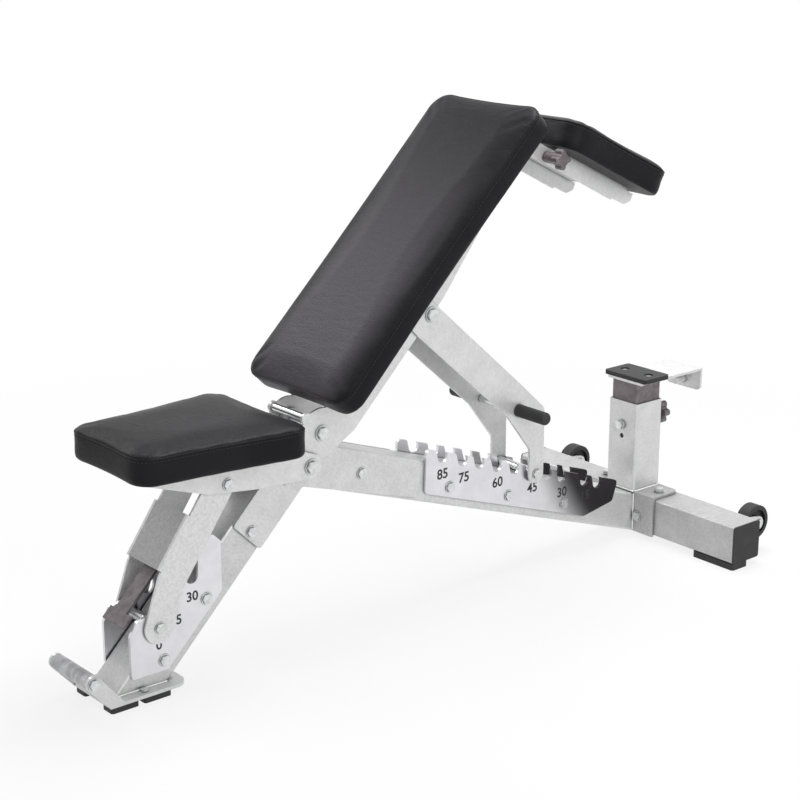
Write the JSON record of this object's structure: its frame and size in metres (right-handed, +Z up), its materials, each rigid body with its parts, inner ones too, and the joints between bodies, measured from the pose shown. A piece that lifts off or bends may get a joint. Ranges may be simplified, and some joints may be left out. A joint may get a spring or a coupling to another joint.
{
  "type": "adjustable weight bench",
  "caption": "Adjustable weight bench with a padded seat and backrest that lock in toothed ladder plates, a folding head rest, a rear post with a rack hook, and transport wheels.",
  "frame": {"origin": "on the floor, at the middle of the bench's length and width", "axes": "+X from the front foot to the rear cross tube, +Y across the bench to its far side, +Z up"},
  "size_m": [1.4588, 0.59, 0.9064],
  "materials": {
    "zinc_steel": "pale zinc-plated steel, satin, faintly mottled",
    "chrome_bolt": "bright plated",
    "rubber": "matte black",
    "black_leather": "grained black artificial leather",
    "bare_steel": "bare steel, slightly dark"
  },
  "bodies": {
    "frame": {"leg": "zinc_steel", "beam": "zinc_steel", "gussets": "zinc_steel", "back_ladders": "zinc_steel", "seat_ladders": "zinc_steel", "saddle": "zinc_steel", "cross_tube": "zinc_steel", "wheel_forks": "zinc_steel", "post_tube": "zinc_steel", "base_plate": "zinc_steel", "base_pads": "rubber", "base_screws": "chrome_bolt", "foot_handle": "chrome_bolt", "foot_handle_bolt": "chrome_bolt", "frame_bolts": "chrome_bolt", "saddle_bolts": "chrome_bolt", "end_caps": "rubber", "wheel_axles": "chrome_bolt", "post_stop_bolt": "chrome_bolt", "back_hinge_bolt": "chrome_bolt", "seat_pivot_bolt": "chrome_bolt", "seat_spacers": "chrome_bolt"},
    "backrest": {"back_plates": "zinc_steel", "back_straps": "zinc_steel", "toe_bar": "chrome_bolt", "back_pad": "black_leather", "strut_pivot_bolt": "chrome_bolt", "head_lugs": "zinc_steel", "head_pivot_bolts": "chrome_bolt"},
    "back_stay": {"back_strut": "zinc_steel", "grip_rod": "chrome_bolt", "strut_grips": "rubber", "back_lock_rod": "chrome_bolt"},
    "seat": {"seat_rails": "zinc_steel", "seat_straps": "zinc_steel", "seat_pad": "black_leather", "seat_strut_shaft": "chrome_bolt"},
    "seat_stay": {"seat_strut": "zinc_steel", "seat_lock_rod": "chrome_bolt", "seat_grip": "bare_steel"},
    "headrest": {"head_arms": "zinc_steel", "head_board": "zinc_steel", "head_pad": "black_leather"},
    "head_knob": {"head_clamp": "bare_steel"},
    "post_head": {"post_inner": "bare_steel", "post_hook": "zinc_steel", "post_pad": "rubber", "post_pad_screws": "chrome_bolt"},
    "clamp_knob": {"post_knob": "chrome_bolt"},
    "near_wheel": {"wheel_near": "rubber"},
    "far_wheel": {"wheel_far": "rubber"}
  },
  "joints": [
    {"name": "back_tilt", "type": "hinge", "parent": "frame", "child": "backrest", "pos_m": [-0.24865, 0, 0.38311], "axis": [0, 1, 0], "range_deg": [-40, 0]},
    {"name": "back_stay_swing", "type": "hinge", "parent": "backrest", "child": "back_stay", "pos_m": [-0.00894, 0, 0.55211], "axis": [0, 1, 0], "range_deg": [0, 32]},
    {"name": "seat_tilt", "type": "hinge", "parent": "frame", "child": "seat", "pos_m": [-0.27565, 0, 0.33011], "axis": [0, 1, 0], "range_deg": [0, 30]},
    {"name": "seat_stay_swing", "type": "hinge", "parent": "seat", "child": "seat_stay", "pos_m": [-0.44657, 0, 0.3371], "axis": [0, 1, 0], "range_deg": [-28.95, 0]},
    {"name": "head_fold", "type": "hinge", "parent": "backrest", "child": "headrest", "pos_m": [0.18735, 0, 0.83524], "axis": [0, 1, 0], "range_deg": [-71, 0]},
    {"name": "head_knob_turn", "type": "hinge", "parent": "headrest", "child": "head_knob", "pos_m": [0.23953, 0, 0.80534], "axis": [0, 1, 0], "continuous": true},
    {"name": "post_lift", "type": "slide", "parent": "frame", "child": "post_head", "axis": [0, 0, 1], "range_m": [0, 0.08]},
    {"name": "post_knob_turn", "type": "hinge", "parent": "frame", "child": "clamp_knob", "pos_m": [0.62086, 0, 0.234], "axis": [1, 0, 0], "continuous": true},
    {"name": "near_wheel_spin", "type": "hinge", "parent": "frame", "child": "near_wheel", "pos_m": [0.66336, -0.245, 0.062], "axis": [0, 1, 0], "continuous": true},
    {"name": "far_wheel_spin", "type": "hinge", "parent": "frame", "child": "far_wheel", "pos_m": [0.66336, 0.245, 0.062], "axis": [0, 1, 0], "continuous": true}
  ],
  "couplings": [
    {"joint": "back_stay_swing", "follows": "back_tilt", "ratio": -0.8},
    {"joint": "seat_stay_swing", "follows": "seat_tilt", "ratio": -0.965}
  ]
}
